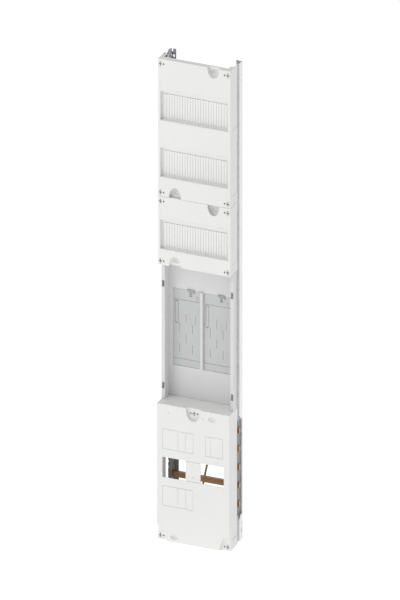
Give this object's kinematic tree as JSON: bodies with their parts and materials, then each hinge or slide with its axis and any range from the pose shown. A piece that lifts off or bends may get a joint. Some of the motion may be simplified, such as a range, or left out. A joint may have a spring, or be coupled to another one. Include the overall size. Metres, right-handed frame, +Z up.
{
  "type": "switchboard meter panel insert",
  "caption": "Open-framed switchboard cabinet insert with sealable covers, device rows, a meter tray with plug-in carriers, and a busbar system.",
  "frame": {"origin": "middle of the bottom of the whole insert", "axes": "+Z up, the covers face -Y, +X to the right seen from the front"},
  "size_m": [0.25, 0.109, 1.05],
  "materials": {
    "bar_copper": "bare drawn copper",
    "cap_plastic": "glass filled moulding",
    "carrier_plastic": "fine satin moulding",
    "cheek_paint": "powder coat",
    "clip_copper": "bare spring copper",
    "cover_plastic": "fine satin moulding",
    "holder_plastic": "glass filled moulding",
    "latch_plastic": "fine satin moulding",
    "lug_tin": "tinned",
    "profile_steel": "galvanised sheet",
    "rail_steel": "galvanised sheet",
    "screw_plastic": "fine satin moulding",
    "screw_zinc": "zinc plated",
    "strip_plastic": "fine satin moulding",
    "tray_plastic": "fine satin moulding",
    "wire_sheath": "green and yellow sheath",
    "zinc_sheet": "galvanised sheet"
  },
  "bodies": {
    "frame": {"bar_screws": "screw_zinc", "busbar_1": "bar_copper", "busbar_2": "bar_copper", "busbar_3": "bar_copper", "busbar_4": "bar_copper", "busbar_5": "bar_copper", "busbar_cap_left": "cap_plastic", "busbar_cap_right": "cap_plastic", "busbar_holder_left": "holder_plastic", "busbar_holder_right": "holder_plastic", "cap_screws": "screw_zinc", "centre_stay": "zinc_sheet", "contact_clips_left": "clip_copper", "contact_clips_right": "clip_copper", "cover_bar_bottom": "zinc_sheet", "cover_bar_joint": "zinc_sheet", "cover_bar_middle": "zinc_sheet", "cover_bar_top": "zinc_sheet", "din_rail_1": "rail_steel", "din_rail_2": "rail_steel", "din_rail_3": "rail_steel", "earth_bar": "zinc_sheet", "earth_lugs": "lug_tin", "earth_screws": "screw_zinc", "earth_wire": "wire_sheath", "meter_carrier_left": "carrier_plastic", "meter_carrier_right": "carrier_plastic", "meter_tray": "tray_plastic", "rail_bracket_left_1": "zinc_sheet", "rail_bracket_left_2": "zinc_sheet", "rail_bracket_left_3": "zinc_sheet", "rail_bracket_right_1": "zinc_sheet", "rail_bracket_right_2": "zinc_sheet", "rail_bracket_right_3": "zinc_sheet", "rail_screws": "screw_zinc", "side_cheek_left": "cheek_paint", "side_cheek_right": "cheek_paint", "support_profile_left": "profile_steel", "support_profile_right": "profile_steel", "web_screws": "screw_zinc"},
    "cover_top": {"cover_top": "cover_plastic", "blanking_strip_1": "strip_plastic", "blanking_strip_2": "strip_plastic"},
    "cover_middle": {"cover_middle": "cover_plastic", "blanking_strip_3": "strip_plastic"},
    "cover_bottom": {"cover_bottom": "cover_plastic"},
    "latch_left": {"carrier_latch_left": "latch_plastic"},
    "latch_right": {"carrier_latch_right": "latch_plastic"},
    "screw_bottom_centre": {"cover_screw_bottom_centre": "screw_plastic"},
    "screw_bottom_left": {"cover_screw_bottom_left": "screw_plastic"},
    "screw_bottom_right": {"cover_screw_bottom_right": "screw_plastic"},
    "screw_middle_lower_left": {"cover_screw_middle_lower_left": "screw_plastic"},
    "screw_middle_lower_right": {"cover_screw_middle_lower_right": "screw_plastic"},
    "screw_middle_upper_left": {"cover_screw_middle_upper_left": "screw_plastic"},
    "screw_middle_upper_right": {"cover_screw_middle_upper_right": "screw_plastic"},
    "screw_top_lower_left": {"cover_screw_top_lower_left": "screw_plastic"},
    "screw_top_lower_right": {"cover_screw_top_lower_right": "screw_plastic"},
    "screw_top_upper_left": {"cover_screw_top_upper_left": "screw_plastic"},
    "screw_top_upper_right": {"cover_screw_top_upper_right": "screw_plastic"}
  },
  "joints": [
    {"name": "cover_top_lift_off", "type": "slide", "parent": "frame", "child": "cover_top", "axis": [0, -1, 0], "range_m": [0, 0.12]},
    {"name": "cover_middle_lift_off", "type": "slide", "parent": "frame", "child": "cover_middle", "axis": [0, -1, 0], "range_m": [0, 0.12]},
    {"name": "cover_bottom_lift_off", "type": "slide", "parent": "frame", "child": "cover_bottom", "axis": [0, -1, 0], "range_m": [0, 0.12]},
    {"name": "screw_bottom_centre_turn", "type": "hinge", "parent": "cover_bottom", "child": "screw_bottom_centre", "pos_m": [0, -0.0455, 0.287], "axis": [0, -1, 0], "range_deg": [-90, 0]},
    {"name": "screw_bottom_left_turn", "type": "hinge", "parent": "cover_bottom", "child": "screw_bottom_left", "pos_m": [-0.1166, -0.0455, 0.0085], "axis": [0, -1, 0], "range_deg": [-90, 0]},
    {"name": "screw_bottom_right_turn", "type": "hinge", "parent": "cover_bottom", "child": "screw_bottom_right", "pos_m": [0.1166, -0.0455, 0.0085], "axis": [0, -1, 0], "range_deg": [-90, 0]},
    {"name": "screw_middle_lower_left_turn", "type": "hinge", "parent": "cover_middle", "child": "screw_middle_lower_left", "pos_m": [-0.1166, -0.0455, 0.6085], "axis": [0, -1, 0], "range_deg": [-90, 0]},
    {"name": "screw_middle_lower_right_turn", "type": "hinge", "parent": "cover_middle", "child": "screw_middle_lower_right", "pos_m": [0.1166, -0.0455, 0.6085], "axis": [0, -1, 0], "range_deg": [-90, 0]},
    {"name": "screw_middle_upper_left_turn", "type": "hinge", "parent": "cover_middle", "child": "screw_middle_upper_left", "pos_m": [-0.1166, -0.0455, 0.7389], "axis": [0, -1, 0], "range_deg": [-90, 0]},
    {"name": "screw_middle_upper_right_turn", "type": "hinge", "parent": "cover_middle", "child": "screw_middle_upper_right", "pos_m": [0.1166, -0.0455, 0.7389], "axis": [0, -1, 0], "range_deg": [-90, 0]},
    {"name": "screw_top_lower_left_turn", "type": "hinge", "parent": "cover_top", "child": "screw_top_lower_left", "pos_m": [-0.1166, -0.0455, 0.7585], "axis": [0, -1, 0], "range_deg": [-90, 0]},
    {"name": "screw_top_lower_right_turn", "type": "hinge", "parent": "cover_top", "child": "screw_top_lower_right", "pos_m": [0.1166, -0.0455, 0.7585], "axis": [0, -1, 0], "range_deg": [-90, 0]},
    {"name": "screw_top_upper_left_turn", "type": "hinge", "parent": "cover_top", "child": "screw_top_upper_left", "pos_m": [-0.1166, -0.0455, 1.0395], "axis": [0, -1, 0], "range_deg": [-90, 0]},
    {"name": "screw_top_upper_right_turn", "type": "hinge", "parent": "cover_top", "child": "screw_top_upper_right", "pos_m": [0.1166, -0.0455, 1.0395], "axis": [0, -1, 0], "range_deg": [-90, 0]},
    {"name": "latch_left_slide", "type": "slide", "parent": "frame", "child": "latch_left", "axis": [0, 0, -1], "range_m": [0, 0.005], "stiffness_N_per_m": 200, "springref_m": -0.002},
    {"name": "latch_right_slide", "type": "slide", "parent": "frame", "child": "latch_right", "axis": [0, 0, -1], "range_m": [0, 0.005], "stiffness_N_per_m": 200, "springref_m": -0.002}
  ]
}
